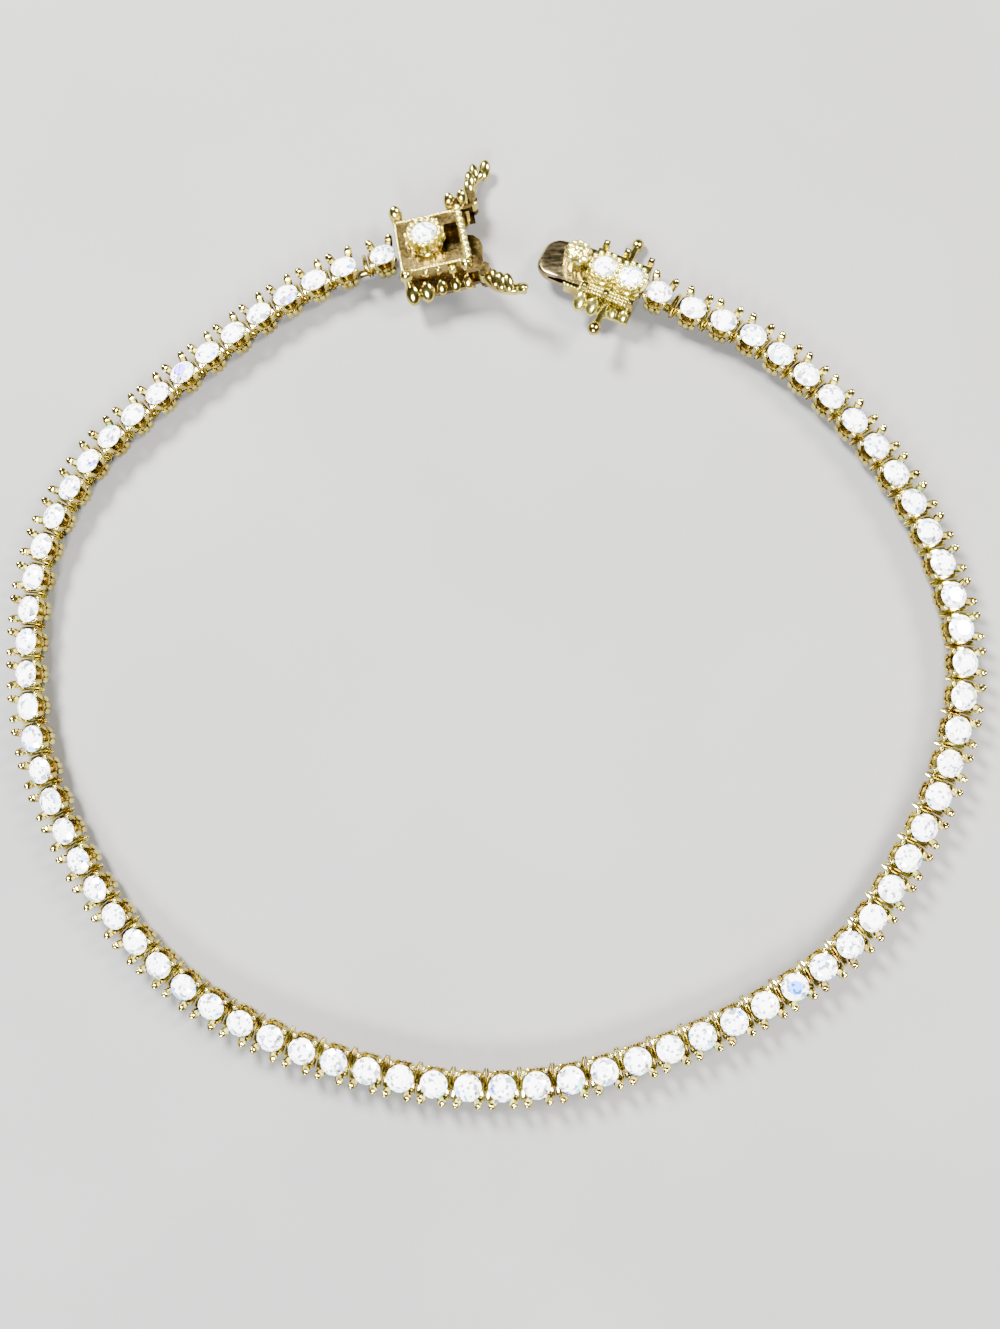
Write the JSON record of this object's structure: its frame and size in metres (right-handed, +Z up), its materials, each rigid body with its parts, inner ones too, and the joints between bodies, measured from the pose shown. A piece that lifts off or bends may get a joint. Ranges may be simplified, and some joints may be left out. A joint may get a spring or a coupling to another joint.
{
  "type": "tennis bracelet",
  "caption": "Open tennis bracelet of prong-set round stones in yellow gold links, with a box clasp, spring tongue and two side safety catches.",
  "frame": {"origin": "middle of the loop's bounding box, on the surface it lies on", "axes": "+Z up; X across the loop at its widest; +Y towards the two halves of the clasp"},
  "size_m": [0.0652, 0.0642, 0.0044],
  "materials": {
    "yellow_gold": "polished yellow gold",
    "diamond": "cut and polished clear stone"
  },
  "bodies": {
    "chain_and_clasp": {"link_chain_left": "yellow_gold", "link_chain_right": "yellow_gold", "clasp_box": "yellow_gold", "clasp_box_stone": "diamond", "clasp_tongue_base": "yellow_gold", "clasp_tongue": "yellow_gold", "clasp_tongue_stone_1": "diamond", "clasp_tongue_stone_2": "diamond"},
    "upper_catch": {"safety_catch_upper": "yellow_gold"},
    "lower_catch": {"safety_catch_lower": "yellow_gold"}
  },
  "joints": [
    {"name": "upper_catch_hinge", "type": "hinge", "parent": "chain_and_clasp", "child": "upper_catch", "pos_m": [-0.00083, 0.02896, 0.00139], "axis": [-0.0522, 0.2706, 0.9613], "range_deg": [-68, 30]},
    {"name": "lower_catch_hinge", "type": "hinge", "parent": "chain_and_clasp", "child": "lower_catch", "pos_m": [0.00029, 0.02313, 0.00309], "axis": [-0.0522, 0.2706, 0.9613], "range_deg": [-50, 47]}
  ]
}
